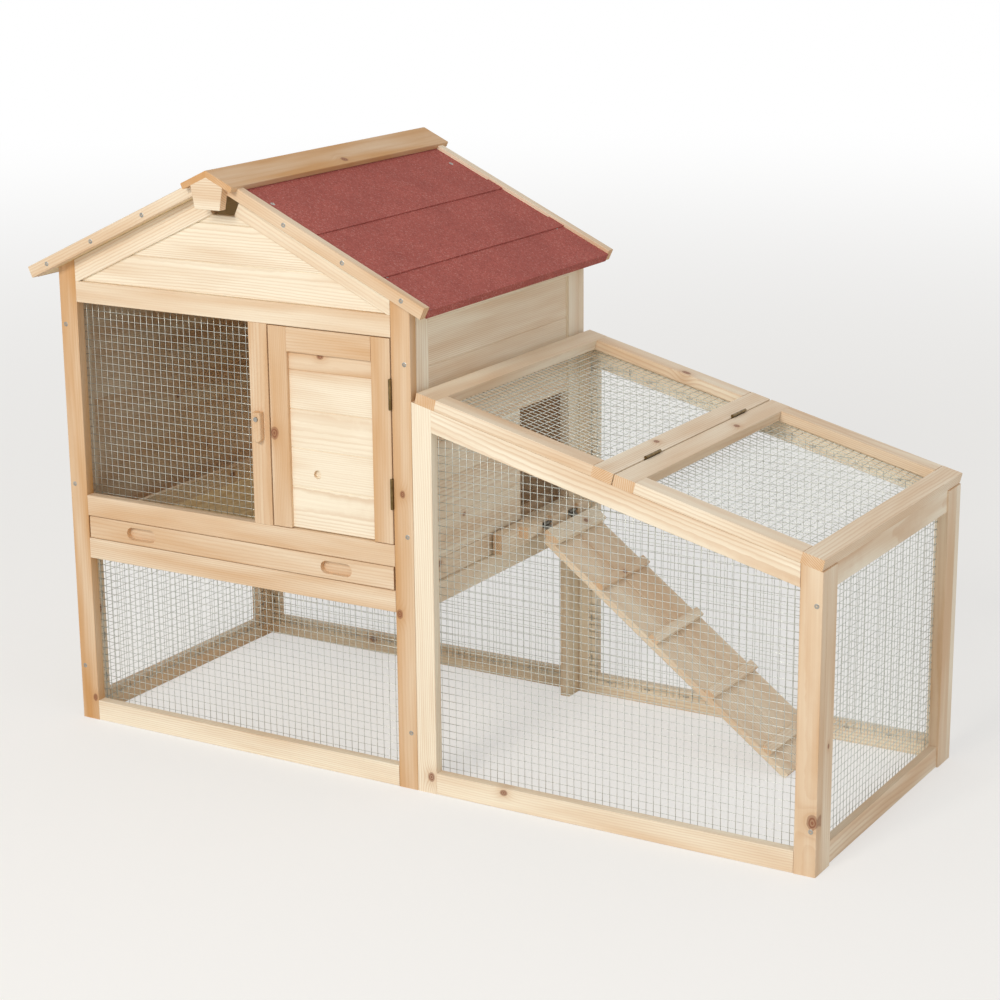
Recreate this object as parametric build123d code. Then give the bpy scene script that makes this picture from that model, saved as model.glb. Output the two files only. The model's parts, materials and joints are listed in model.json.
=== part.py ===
from build123d import *
from math import atan, cos, degrees, radians, sin, tan
import os

os.makedirs("parts", exist_ok=True)

# Millimetres. +X runs along the front from the house to the run, +Y goes to the back, +Z is up.
# The origin is on the ground, under the middle of the whole hutch.

# Overall layout
HOUSE_W = 700.0
RUN_LEN = 698.0
DEPTH = 560.0

# Planed laths
LATH_W = 36.0
LATH_T = 18.0
EASE = 1.0

# Tongued and grooved boards
BOARD_T = 9.0
BOARD_COVER = 64.5
BOARD_BEVEL = 1.5
BOARD_SET_IN = 5.0
DOOR_BOARD_SET_IN = 6.0
TONGUE_T = 3.0
TONGUE_LEN = 5.0
TONGUE_PLAY = 0.3
SHORTEST_BOARD = 12.0

# Welded wire net, two wires thick and drawn as every fifth wire
NET_T = 1.8
NET_WEB = 2.0
NET_PITCH = 63.5
NET_LAP = 16.0

# Heights of the house rails, each at its lower edge
TRAY_RAIL_Z = 298.0
SILL_RAIL_Z = 374.0
HEAD_RAIL_Z = 746.0

# House front
CENTRE_STILE_X = 390.0
CENTRE_STILE_W = 37.0
GABLE_SEAM_Z = 834.6
GABLE_BOARDS_BELOW_APEX = 51.0
RAKE_END_HALF_GAP = 22.0

# Side walls and the doorway to the ramp
WALL_SEAM_Z = 370.1
DOORWAY_Y = (65.0, 226.0)
DOORWAY_BOARDS = 3

# Roof: the wall top is where the deck meets the outer face of a side wall
ROOF_PITCH = 25.0
WALL_TOP_Z = 801.8
EAVE_REACH = 38.8
DECK_OVERHANG = 10.0
DECK_T = 12.0
FELT_T = 2.0
FELT_LAP = 30.0
FELT_SEAMS = (163.0, 299.0)
BARGE_T = 16.0
BARGE_H = 20.0
RIDGE_BOARD_W = 45.0
RIDGE_BOARD_T = 10.0
RIDGE_BLOCK_T = 16.0
RIDGE_BLOCK_SHOULDER = 31.5
RIDGE_BLOCK_FOOT = 24.5
RIDGE_BLOCK_DROP = 36.0

# Door
DOOR_GAP = 2.0
DOOR_GAP_Z = 1.5
DOOR_TOP_RAIL_W = 40.0
DOOR_SEAM_Z = 481.2
FINGER_HOLE_R = 7.25
FINGER_HOLE_DEEP = 6.0
FINGER_HOLE_IN = 86.0
FINGER_HOLE_UP = 94.0

# Butt hinges
LEAF_T = 0.8
LEAF_W = 16.0
LEAF_LEN = 50.0
BARREL_R = 2.5
BARREL_PROUD = 3.0
PIN_R = 1.2
PIN_PLAY = 0.05
KNUCKLE_PLAY = 0.4
DOOR_HINGE_Z = (494.5, 656.0)
LID_HINGE_Y = (-155.0, 153.0)

# Turn button, hanging clear of the door
BUTTON_Z = 589.0
BUTTON_LEN = 50.0
BUTTON_W = 15.0
BUTTON_T = 11.0
BUTTON_END_R = 7.4
BUTTON_PIVOT_IN = 11.0
BUTTON_GAP = 0.5
BUTTON_EASE = 1.5
BUTTON_SCREW_R = 2.0
BUTTON_SCREW_DEEP = 14.0
BUTTON_HEAD_R = 4.0
BUTTON_HEAD_T = 1.6

# Pull-out tray
TRAY_SIDE_GAP = 3.0
TRAY_GAP_Z = 1.0
TRAY_LEN = 520.0
TRAY_BOTTOM_T = 4.0
TRAY_WALL_T = 9.0
TRAY_WALL_H = 32.0
SLOT_LEN = 61.0
SLOT_H = 22.0
SLOT_DEEP = 10.0
SLOT_IN = 111.0
RUNNER_GAP = 0.3

# Run
RUN_HIGH_Z = 648.0
RUN_LOW_Z = 474.6
END_RAIL_SET_IN = 3.0
TOP_FRAME_START = 6.6
LID_SEAM = 364.3
LID_GAP = 2.0
LID_END_PROUD = 2.0

# Ledge, cleat and ramp
LEDGE_Y = (-35.0, 262.0)
LEDGE_TOP_Z = 373.0
CLEAT_Y = (20.0, 230.0)
CLEAT_W = 18.0
CLEAT_H = 20.0
NOTCH_DEEP = 10.0
NOTCH_LEN = 37.0
NOTCH_Y = (86.5, 176.5)
RAMP_PIN_R = 2.0
RAMP_PIN_IN = 4.0
RAMP_PIN_DOWN = 10.0
RAMP_SLOPE = 36.9
RAMP_Y = (60.0, 230.0)
RAMP_LEN = 590.0
RAMP_HEAD = 22.0
PLANK_T = 12.0
PLANK_GAP = 1.0
HEAD_BATTEN = (14.0, 44.0)
HEAD_BATTEN_T = 12.0
BATTEN_W = 18.0
BATTEN_T = 9.0
BATTEN_FIRST = 154.0
BATTEN_PITCH = 130.7
BATTEN_COUNT = 4
HOOK_W = 20.0
HOOK_T = 2.0
HOOK_LEN = 40.0
HOOK_EYE_R = 4.0
HOOK_PLAY = 0.2
RAMP_FOOT_Z = 0.5

# Places worked out from the sizes above
pitch = radians(ROOF_PITCH)
deck_apex_z = WALL_TOP_Z + HOUSE_W / 2 * tan(pitch)
deck_slope_len = HOUSE_W / 2 / cos(pitch) + EAVE_REACH
run_fall = atan((RUN_HIGH_Z - RUN_LOW_Z) / RUN_LEN)
eave_out = deck_slope_len * cos(pitch) + BARGE_H * sin(pitch) - HOUSE_W / 2
house_left = (eave_out - HOUSE_W - RUN_LEN - LID_END_PROUD) / 2
house_mid = house_left + HOUSE_W / 2
house_right = house_left + HOUSE_W
run_right = house_right + RUN_LEN
front = -DEPTH / 2
wall_y = DEPTH / 2 - LATH_T
sill_top_z = SILL_RAIL_Z + LATH_W
head_top_z = HEAD_RAIL_Z + LATH_W
tray_rail_top_z = TRAY_RAIL_Z + LATH_W
doorway_z = (WALL_SEAM_Z, WALL_SEAM_Z + DOORWAY_BOARDS * BOARD_COVER)

# Each panel is drawn with x along it, y from its outer face inward and z up, then put in place.
front_place = Pos(0, front, 0)
left_place = Pos(house_left, 0, 0) * Rot(0, 0, -90)
right_place = Pos(house_right, 0, 0) * Rot(0, 0, 90)
end_place = Pos(run_right, 0, 0) * Rot(0, 0, 90)

# The sloping planes: x down the slope, y to the back, z square to the slope.
roof_slope = Plane(
    origin=(house_mid, 0, deck_apex_z),
    x_dir=(cos(pitch), 0, -sin(pitch)),
    z_dir=(sin(pitch), 0, cos(pitch)),
)
run_slope = Plane(
    origin=(house_right, 0, RUN_HIGH_Z),
    x_dir=(cos(run_fall), 0, -sin(run_fall)),
    z_dir=(sin(run_fall), 0, cos(run_fall)),
)
house_middle_plane = Plane.YZ.offset(house_mid)


def keep(name, *shapes):
    """Write one sub-part, as a group where it has several solids."""
    solids = [solid for shape in shapes for solid in shape.solids()]
    part = solids[0] if len(solids) == 1 else Compound(solids)
    export_step(part, f"parts/{name}.step")


def block(x, y, z):
    """A square-edged block filling three ranges."""
    size = [high - low for low, high in (x, y, z)]
    return Pos(x[0], y[0], z[0]) * Box(*size, align=(Align.MIN, Align.MIN, Align.MIN))


def lath(x, y, z, along):
    """A planed lath filling three ranges, with its long edges eased."""
    body = block(x, y, z)
    return chamfer(body.edges().filter_by(along), EASE)


def to_back(shape):
    """The same piece on the back of the hutch."""
    return mirror(shape, about=Plane.XZ)


def to_left(shape):
    """The same piece on the left half of the house."""
    return mirror(shape, about=house_middle_plane)


def below(shape, plane):
    return split(shape, bisect_by=plane, keep=Keep.BOTTOM)


def above(shape, plane):
    return split(shape, bisect_by=plane, keep=Keep.TOP)


def under_roof(shape, drop=0.0):
    """Trim a piece to a plane below the deck, on both slopes."""
    right = roof_slope.offset(-drop)
    left = Plane(
        origin=(2 * house_mid - right.origin.X, 0, right.origin.Z),
        x_dir=(cos(pitch), 0, sin(pitch)),
        z_dir=(-sin(pitch), 0, cos(pitch)),
    )
    return below(below(shape, right), left)


def under_run_top(shape, drop=0.0):
    return below(shape, run_slope.offset(-drop))


def board(length, z, groove, tongue, set_in):
    """One tongued and grooved board: a groove below where it meets one, a tongue above."""
    bottom, top = z
    face = set_in
    back = set_in + BOARD_T
    mid = set_in + BOARD_T / 2
    slot = TONGUE_T / 2 + TONGUE_PLAY
    half = TONGUE_T / 2
    points = [(face, bottom + BOARD_BEVEL), (face + BOARD_BEVEL, bottom)]
    if groove:
        roof_z = bottom + TONGUE_LEN + TONGUE_PLAY
        points += [(mid - slot, bottom), (mid - slot, roof_z), (mid + slot, roof_z), (mid + slot, bottom)]
    points += [(back, bottom), (back, top)]
    if tongue:
        tip_z = top + TONGUE_LEN
        points += [(mid + half, top), (mid + half, tip_z), (mid - half, tip_z), (mid - half, top)]
    points += [(face + BOARD_BEVEL, top), (face, top - BOARD_BEVEL)]
    profile = make_face(Plane.YZ.offset(length[0]) * Polyline(*points, close=True))
    return extrude(profile, length[1] - length[0], dir=(1, 0, 0))


def boards(length, z, seam, set_in=BOARD_SET_IN):
    """Boards filling a height, with seams one cover width apart through a given seam."""
    bottom, top = z
    first = seam - BOARD_COVER * int((seam - bottom) / BOARD_COVER)
    edges = [bottom]
    while first < top - SHORTEST_BOARD:
        if first > bottom + SHORTEST_BOARD:
            edges.append(first)
        first += BOARD_COVER
    edges.append(top)
    rows = zip(edges, edges[1:])
    return [board(length, row, row[0] > bottom, row[1] < top, set_in) for row in rows]


def net(outline):
    """A flat net as one holed face in the xz plane, on the inner side of its frame."""
    rim = make_face(Polyline(*outline, close=True))
    inner = offset(rim, -NET_LAP, kind=Kind.INTERSECTION)
    box = rim.bounding_box()
    counts = [max(1, round(size / NET_PITCH)) for size in (box.size.X, box.size.Y)]
    grid = GridLocations(NET_PITCH, NET_PITCH, *counts)
    gaps = Pos(*box.center()) * grid * Rectangle(NET_PITCH - NET_WEB, NET_PITCH - NET_WEB)
    face = rim - (Sketch(gaps) & inner)
    return Plane.XZ.offset(-LATH_T) * extrude(face, -NET_T)


def rect_outline(x, z):
    return [(x[0], z[0]), (x[1], z[0]), (x[1], z[1]), (x[0], z[1])]


def stiles(x, top):
    """The two uprights at the ends of a panel, standing on the ground."""
    left = lath((x[0], x[0] + LATH_W), (0, LATH_T), (0, top), Axis.Z)
    right = lath((x[1] - LATH_W, x[1]), (0, LATH_T), (0, top), Axis.Z)
    return [left, right]


def rail(x, z, set_in=0.0):
    return lath(x, (set_in, LATH_T), z, Axis.X)


def lapped(span):
    """The range a net covers behind an opening, lapping the laths around it."""
    return (span[0] - NET_LAP, span[1] + NET_LAP)


# House front and back
inner_x = (house_left + LATH_W, house_right - LATH_W)
centre_stile = (house_left + CENTRE_STILE_X, house_left + CENTRE_STILE_X + CENTRE_STILE_W)
window_x = (inner_x[0], centre_stile[0])
door_opening = (centre_stile[1], inner_x[1])
window_z = (sill_top_z, HEAD_RAIL_Z)
lower_z = (LATH_W, TRAY_RAIL_Z)


def house_stile_left():
    stile = lath((house_left, inner_x[0]), (0, LATH_T), (0, deck_apex_z), Axis.Z)
    return front_place * under_roof(stile)


def gable_laths():
    """The two raking laths under the roof, stopping short of each other at the top."""
    start = (RAKE_END_HALF_GAP + LATH_W * sin(pitch)) / cos(pitch)
    rake = lath((start, deck_slope_len), (front, front + LATH_T), (-LATH_W, 0), Axis.X)
    rake = roof_slope * rake
    rake = below(rake, Plane.YZ.offset(inner_x[1]))
    rake = above(rake, Plane.XY.offset(head_top_z))
    return [rake, to_left(rake)]


def gable_boards():
    rows = boards(inner_x, (head_top_z, deck_apex_z - GABLE_BOARDS_BELOW_APEX), GABLE_SEAM_Z)
    return [front_place * under_roof(row, LATH_W) for row in rows]


def build_front():
    stile = house_stile_left()
    keep("front_stile_left", stile)
    keep("front_stile_right", to_left(stile))
    keep("front_foot_rail", front_place * rail(inner_x, (0, LATH_W)))
    keep("front_tray_rail", front_place * rail(inner_x, (TRAY_RAIL_Z, tray_rail_top_z)))
    keep("front_sill_rail", front_place * rail(inner_x, (SILL_RAIL_Z, sill_top_z)))
    keep("front_head_rail", front_place * rail(inner_x, (HEAD_RAIL_Z, head_top_z)))
    keep("front_centre_stile", front_place * pierced_centre_stile())
    keep("front_gable_laths", *gable_laths())
    keep("front_gable_boards", *gable_boards())
    keep("window_mesh", front_place * net(rect_outline(lapped(window_x), lapped(window_z))))
    keep("front_lower_mesh", front_place * net(rect_outline(lapped(inner_x), lapped(lower_z))))


def pierced_centre_stile():
    """The stile between window and door, with the pilot hole of the turn button's screw."""
    stile = lath(centre_stile, (0, LATH_T), window_z, Axis.Z)
    hole = Cylinder(BUTTON_SCREW_R, BUTTON_SCREW_DEEP, align=(Align.CENTER, Align.CENTER, Align.MIN))
    return stile - Pos(sum(centre_stile) / 2, 0, BUTTON_Z) * Rot(-90, 0, 0) * hole


def build_back():
    stile = house_stile_left()
    rails = [
        front_place * rail(inner_x, (0, LATH_W)),
        front_place * rail(inner_x, (TRAY_RAIL_Z, tray_rail_top_z)),
        front_place * rail(inner_x, (HEAD_RAIL_Z, head_top_z)),
    ]
    keep("back_frame", *[to_back(piece) for piece in [stile, to_left(stile), *rails]])
    keep("back_gable_laths", *[to_back(piece) for piece in gable_laths()])
    rows = [front_place * row for row in boards(inner_x, (tray_rail_top_z, HEAD_RAIL_Z), WALL_SEAM_Z)]
    keep("back_boards", *[to_back(piece) for piece in [*rows, *gable_boards()]])
    mesh = front_place * net(rect_outline(lapped(inner_x), lapped(lower_z)))
    keep("back_mesh", to_back(mesh))


# House sides
wall_inner = (-wall_y + LATH_W, wall_y - LATH_W)
wall_head_z = WALL_TOP_Z - LATH_W


def side_stiles(place):
    return [under_roof(place * stile) for stile in stiles((-wall_y, wall_y), deck_apex_z)]


def side_head_rail(place):
    head = rail(wall_inner, (wall_head_z, deck_apex_z))
    return under_roof(place * head)


def build_left_side():
    foot = rail(wall_inner, (0, LATH_W))
    middle = rail(wall_inner, (TRAY_RAIL_Z, tray_rail_top_z))
    head = side_head_rail(left_place)
    keep("left_frame", *side_stiles(left_place), left_place * foot, left_place * middle, head)
    rows = boards(wall_inner, (tray_rail_top_z, wall_head_z), WALL_SEAM_Z)
    keep("left_boards", *[left_place * row for row in rows])
    keep("left_mesh", left_place * net(rect_outline(lapped(wall_inner), lapped(lower_z))))


def build_right_side():
    """The wall to the run: open below, with the doorway to the ramp at its back."""
    middle = rail(wall_inner, (TRAY_RAIL_Z, tray_rail_top_z))
    head = side_head_rail(right_place)
    post = lath(
        (DOORWAY_Y[0] - LATH_T, DOORWAY_Y[0]),
        (BOARD_SET_IN + BOARD_T, BOARD_SET_IN + BOARD_T + LATH_T),
        (doorway_z[0], doorway_z[1]),
        Axis.Z,
    )
    keep("right_frame", *side_stiles(right_place), right_place * middle, head)
    keep("doorway_post", right_place * post)
    doorway = block((DOORWAY_Y[0], wall_inner[1]), (0, LATH_T), doorway_z)
    rows = boards(wall_inner, (tray_rail_top_z, wall_head_z), WALL_SEAM_Z)
    keep("right_boards", *[right_place * (row - doorway) for row in rows])


# Roof
deck_y = (front - DECK_OVERHANG, -front + DECK_OVERHANG)
barge_y = (deck_y[0] - BARGE_T, deck_y[0])
ridge_front = barge_y[0] - RIDGE_BLOCK_T
felt_top = DECK_T + FELT_T


def mitred(shape):
    """Trim a right-hand roof piece at the ridge, ready to meet its mirror image."""
    return above(roof_slope * shape, house_middle_plane)


def felt_strip(start, end, covers_eave):
    """One strip of felt, its lower edge lapping the strip below or wrapping the eave."""
    low = DECK_T
    high = DECK_T + FELT_T
    if covers_eave:
        outer = end + FELT_T
        points = [(start, low), (end, low), (end, 0), (outer, 0), (outer, high), (start, high)]
    else:
        lift = end - FELT_T
        tip = end + FELT_LAP
        points = [
            (start, low), (lift, low), (end, high), (tip, high),
            (tip, high + FELT_T), (lift, high + FELT_T), (lift - FELT_T, high), (start, high),
        ]
    profile = make_face(Plane.XZ.offset(-deck_y[0]) * Polyline(*points, close=True))
    return extrude(profile, deck_y[1] - deck_y[0], dir=(0, 1, 0))


def build_roof():
    reach = DECK_T * tan(pitch)
    deck = mitred(block((-reach, deck_slope_len), deck_y, (0, DECK_T)))
    keep("roof_deck_right", deck)
    keep("roof_deck_left", to_left(deck))
    starts = (-felt_top * tan(pitch), *FELT_SEAMS)
    ends = (*FELT_SEAMS, deck_slope_len)
    strips = [felt_strip(a, b, b == deck_slope_len) for a, b in zip(starts, ends)]
    felt = [mitred(strip) for strip in strips]
    keep("roof_felt_right", *felt)
    keep("roof_felt_left", *[to_left(strip) for strip in felt])
    barge = barge_lath()
    keep("barge_laths_front", barge, to_left(barge))
    keep("barge_laths_back", to_back(barge), to_back(to_left(barge)))
    cap_high = felt_top + RIDGE_BOARD_T
    cap_x = (-cap_high * tan(pitch), RIDGE_BOARD_W)
    cap = mitred(lath(cap_x, (ridge_front, -ridge_front), (felt_top, cap_high), Axis.Y))
    keep("ridge_boards", cap, to_left(cap))
    keep("ridge_end_blocks", ridge_block(), to_back(ridge_block()))


def barge_lath():
    """A lath along the verge, housed under the ridge board at its upper end."""
    reach = BARGE_H * tan(pitch)
    body = lath((-reach, deck_slope_len), barge_y, (0, BARGE_H), Axis.X)
    housing = block((-reach, RIDGE_BOARD_W), barge_y, (felt_top, BARGE_H))
    return mitred(body - housing)


def ridge_block():
    """The five-sided block that closes the ridge boards' end."""
    apex_z = deck_apex_z + felt_top / cos(pitch)
    shoulder_z = apex_z - RIDGE_BLOCK_SHOULDER * tan(pitch)
    points = [
        (house_mid, apex_z),
        (house_mid + RIDGE_BLOCK_SHOULDER, shoulder_z),
        (house_mid + RIDGE_BLOCK_FOOT, deck_apex_z - RIDGE_BLOCK_DROP),
        (house_mid - RIDGE_BLOCK_FOOT, deck_apex_z - RIDGE_BLOCK_DROP),
        (house_mid - RIDGE_BLOCK_SHOULDER, shoulder_z),
    ]
    profile = make_face(Plane.XZ.offset(-ridge_front) * Polyline(*points, close=True))
    body = extrude(profile, RIDGE_BLOCK_T, dir=(0, 1, 0))
    return chamfer(body.faces().sort_by(Axis.Y)[0].edges().sort_by(Axis.Z)[:3], EASE)


# Hinges: the axis is z, the fixed leaf is on the +x side and the leaves lie along +y.
def knuckle(z):
    tube = Cylinder(BARREL_R, z[1] - z[0], align=(Align.CENTER, Align.CENTER, Align.MIN))
    return Pos(0, 0, z[0]) * tube


def hinge_leaf(side, own, other, gap):
    """A leaf lying on one side of a gap, with its own knuckles and room for the other leaf's."""
    outer = gap / 2
    plate_x = (outer - LEAF_T, outer) if side > 0 else (-outer, LEAF_T - outer)
    half = LEAF_LEN / 2
    leaf = block(plate_x, (0, LEAF_W), (-half, half))
    for span in other:
        leaf -= block((-BARREL_R, BARREL_R), (0, BARREL_R + KNUCKLE_PLAY), span)
    for low, high in own:
        leaf += knuckle((low + KNUCKLE_PLAY / 2, high - KNUCKLE_PLAY / 2))
    return leaf - Cylinder(PIN_R + PIN_PLAY, LEAF_LEN)


def hinge(gap):
    """Fixed leaf, moving leaf and pin of one butt hinge, with three knuckles of one length."""
    half = LEAF_LEN / 2
    outer = [(-half, -half / 3), (half / 3, half)]
    middle = [(-half / 3, half / 3)]
    fixed = hinge_leaf(1, outer, middle, gap)
    moving = hinge_leaf(-1, middle, outer, gap)
    return fixed, moving, Cylinder(PIN_R, LEAF_LEN)


def build_door():
    width = (door_opening[0] + DOOR_GAP, door_opening[1] - DOOR_GAP)
    height = (sill_top_z + DOOR_GAP_Z, HEAD_RAIL_Z - DOOR_GAP_Z)
    inside = (width[0] + LATH_W, width[1] - LATH_W)
    thick = (0, LATH_T)
    top_rail_z = height[1] - DOOR_TOP_RAIL_W
    hang = lath((inside[1], width[1]), thick, height, Axis.Z)
    swing = lath((width[0], inside[0]), thick, height, Axis.Z)
    top = lath(inside, thick, (top_rail_z, height[1]), Axis.X)
    keep("door_frame", *[front_place * piece for piece in (hang, swing, top)])
    rows = boards(inside, (height[0], top_rail_z), DOOR_SEAM_Z, DOOR_BOARD_SET_IN)
    hole = Cylinder(FINGER_HOLE_R, DOOR_BOARD_SET_IN + FINGER_HOLE_DEEP)
    hole = Pos(width[0] + FINGER_HOLE_IN, DOOR_BOARD_SET_IN, height[0] + FINGER_HOLE_UP) * Rot(90, 0, 0) * hole
    keep("door_boards", *[front_place * (row - hole) for row in rows])
    fixed, moving, pin = hinge(DOOR_GAP)
    places = [Pos(door_opening[1] - DOOR_GAP / 2, front - BARREL_PROUD, z) for z in DOOR_HINGE_Z]
    keep("door_hinge_fixed_leaves", *[place * fixed for place in places])
    keep("door_hinge_moving_leaves", *[place * moving for place in places])
    keep("door_hinge_pins", *[place * pin for place in places])


def build_turn_button():
    """A wooden button with one round end, hanging from its screw on the centre stile."""
    screw_x = sum(centre_stile) / 2
    upright = (Align.CENTER, Align.CENTER, Align.MIN)
    outline = Pos(0, BUTTON_PIVOT_IN - BUTTON_LEN / 2) * Rectangle(BUTTON_W, BUTTON_LEN)
    outline = fillet(outline.vertices().sort_by(Axis.Y)[:2], BUTTON_END_R)
    body = extrude(outline, BUTTON_T)
    body = chamfer(body.faces().sort_by(Axis.Z)[-1].edges(), BUTTON_EASE)
    body -= Cylinder(BUTTON_SCREW_R + PIN_PLAY, BUTTON_T, align=upright)
    place = Pos(screw_x, front - BUTTON_GAP, BUTTON_Z) * Rot(90, 0, 0)
    keep("turn_button", place * body)
    under = BUTTON_GAP + BUTTON_SCREW_DEEP
    over = BUTTON_T + BUTTON_GAP
    shank = Pos(0, 0, -under) * Cylinder(BUTTON_SCREW_R, under + over, align=upright)
    head = Pos(0, 0, over) * Cylinder(BUTTON_HEAD_R, BUTTON_HEAD_T, align=upright)
    keep("turn_button_screw", place * (shank + head))


def build_tray():
    width = (inner_x[0] + TRAY_SIDE_GAP, inner_x[1] - TRAY_SIDE_GAP)
    bottom_z = tray_rail_top_z + TRAY_GAP_Z
    top_z = SILL_RAIL_Z - TRAY_GAP_Z
    panel = lath(width, (0, LATH_T), (bottom_z, top_z), Axis.X)
    slot = extrude(SlotOverall(SLOT_LEN, SLOT_H), SLOT_DEEP)
    for x in (width[0] + SLOT_IN, width[1] - SLOT_IN):
        panel -= Pos(x, SLOT_DEEP, (bottom_z + top_z) / 2) * Rot(90, 0, 0) * slot
    keep("tray_front", front_place * panel)
    floor_z = bottom_z + TRAY_BOTTOM_T
    floor = block(width, (LATH_T, TRAY_LEN), (bottom_z, floor_z))
    keep("tray_bottom", front_place * floor)
    wall_z = (floor_z, floor_z + TRAY_WALL_H)
    left = block((width[0], width[0] + TRAY_WALL_T), (LATH_T, TRAY_LEN), wall_z)
    right = block((width[1] - TRAY_WALL_T, width[1]), (LATH_T, TRAY_LEN), wall_z)
    back_x = (width[0] + TRAY_WALL_T, width[1] - TRAY_WALL_T)
    back = block(back_x, (TRAY_LEN - TRAY_WALL_T, TRAY_LEN), wall_z)
    keep("tray_walls", *[front_place * wall for wall in (left, right, back)])


def build_tray_runners():
    """A flat lath that carries each side of the tray, with a guide lath on top of it."""
    top_z = tray_rail_top_z + TRAY_GAP_Z - RUNNER_GAP
    inside = house_right - LATH_T
    length = (-wall_y, wall_y)
    runner = lath((inside - LATH_W, inside), length, (top_z - LATH_T, top_z), Axis.Y)
    guide = lath((inside - LATH_T, inside), length, (top_z, top_z + LATH_T), Axis.Y)
    keep("tray_runners", runner, guide, to_left(runner), to_left(guide))


# Run
run_x = (house_right, run_right)
run_inner = (run_x[0] + LATH_W, run_x[1] - LATH_W)
lid_end = (RUN_LEN + LID_END_PROUD - LATH_T * sin(run_fall)) / cos(run_fall)


def run_side():
    """The front panel of the run, with its sloping top rail between the stiles."""
    uprights = [under_run_top(stile) for stile in stiles(run_x, RUN_HIGH_Z)]
    foot = rail(run_inner, (0, LATH_W))
    reach = RUN_LEN / cos(run_fall)
    top = run_slope * lath((0, reach), (0, LATH_T), (-LATH_W, 0), Axis.X)
    top = above(below(top, Plane.YZ.offset(run_inner[1])), Plane.YZ.offset(run_inner[0]))
    return [front_place * piece for piece in [*uprights, foot, top]]


def run_side_net():
    """The net behind the front panel of the run, cut to the slope."""
    x = lapped(run_inner)
    drop = (LATH_W - NET_LAP) / cos(run_fall)
    tops = [RUN_HIGH_Z - drop - (v - house_right) * tan(run_fall) for v in x]
    low = LATH_W - NET_LAP
    return front_place * net([(x[0], low), (x[1], low), (x[1], tops[1]), (x[0], tops[0])])


def build_run_walls():
    side = run_side()
    keep("run_front_frame", *side)
    keep("run_back_frame", *[to_back(piece) for piece in side])
    mesh = run_side_net()
    keep("run_front_mesh", mesh)
    keep("run_back_mesh", to_back(mesh))
    foot = rail(wall_inner, (0, LATH_W), END_RAIL_SET_IN)
    head = rail(wall_inner, (RUN_LOW_Z - LATH_W, RUN_HIGH_Z), END_RAIL_SET_IN)
    tall = [*stiles((-wall_y, wall_y), RUN_HIGH_Z), head]
    end = [under_run_top(end_place * piece) for piece in tall]
    keep("run_end_frame", *end, end_place * foot)
    end_gap = (LATH_W, RUN_LOW_Z - LATH_W)
    keep("run_end_mesh", end_place * net(rect_outline(lapped(wall_inner), lapped(end_gap))))


def top_frame(s):
    """A flat frame on the sloping top: end laths from front to back, with rails between."""
    thick = (0, LATH_T)
    across = (front, -front)
    inner = (s[0] + LATH_W, s[1] - LATH_W)
    ends = [lath((s[0], inner[0]), across, thick, Axis.Y), lath((inner[1], s[1]), across, thick, Axis.Y)]
    near = lath(inner, (front, front + LATH_W), thick, Axis.X)
    return [run_slope * piece for piece in (*ends, near, to_back(near))]


def top_net(s):
    """A net under a top frame, lying between the run's panels."""
    opening = (s[0] + LATH_W, s[1] - LATH_W)
    across = (front + LATH_W, -front - LATH_W)
    flat = Rot(90, 0, 0) * net(rect_outline(lapped(opening), lapped(across)))
    return run_slope * Pos(0, 0, -LATH_T - NET_T) * flat


def build_run_top():
    fixed_s = (TOP_FRAME_START, LID_SEAM - LID_GAP / 2)
    lid_s = (LID_SEAM + LID_GAP / 2, lid_end)
    keep("run_top_frame", *top_frame(fixed_s))
    keep("run_top_mesh", top_net(fixed_s))
    keep("run_lid_frame", *top_frame(lid_s))
    keep("run_lid_mesh", top_net(lid_s))
    fixed, moving, pin = hinge(LID_GAP)
    height = LATH_T + BARREL_PROUD
    places = [
        run_slope * Plane(origin=(LID_SEAM, y, height), x_dir=(-1, 0, 0), z_dir=(0, -1, 0)).location
        for y in LID_HINGE_Y
    ]
    keep("lid_hinge_fixed_leaves", *[place * fixed for place in places])
    keep("lid_hinge_moving_leaves", *[place * moving for place in places])
    keep("lid_hinge_pins", *[place * pin for place in places])


# Ramp: drawn along its own slope from the hook pins, x down the ramp and z square to it.
cleat_x = (house_right + LATH_T, house_right + LATH_T + CLEAT_W)
ramp_pin_x = cleat_x[1] - RAMP_PIN_IN
ramp_pin_z = LEDGE_TOP_Z - RAMP_PIN_DOWN
ramp_angle = radians(RAMP_SLOPE)
ramp_slope = Plane(
    origin=(ramp_pin_x, 0, ramp_pin_z),
    x_dir=(cos(ramp_angle), 0, -sin(ramp_angle)),
    z_dir=(sin(ramp_angle), 0, cos(ramp_angle)),
)


def build_ledge():
    """The ledge on the wall, and the notched cleat with the pins that the ramp hooks over."""
    ledge = lath((house_right, house_right + LATH_T), LEDGE_Y, (LEDGE_TOP_Z - LATH_W, LEDGE_TOP_Z), Axis.Y)
    keep("ramp_ledge", ledge)
    cleat = lath(cleat_x, CLEAT_Y, (LEDGE_TOP_Z - CLEAT_H, LEDGE_TOP_Z), Axis.Y)
    pin = Rot(90, 0, 0) * Cylinder(RAMP_PIN_R, NOTCH_LEN)
    pins = []
    for y in NOTCH_Y:
        notch_y = (y - NOTCH_LEN / 2, y + NOTCH_LEN / 2)
        cleat -= block((cleat_x[1] - NOTCH_DEEP, cleat_x[1]), notch_y, (0, LEDGE_TOP_Z))
        pins.append(Pos(ramp_pin_x, y, ramp_pin_z) * pin)
    keep("ramp_cleat", cleat)
    keep("ramp_hook_pins", *pins)


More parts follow.
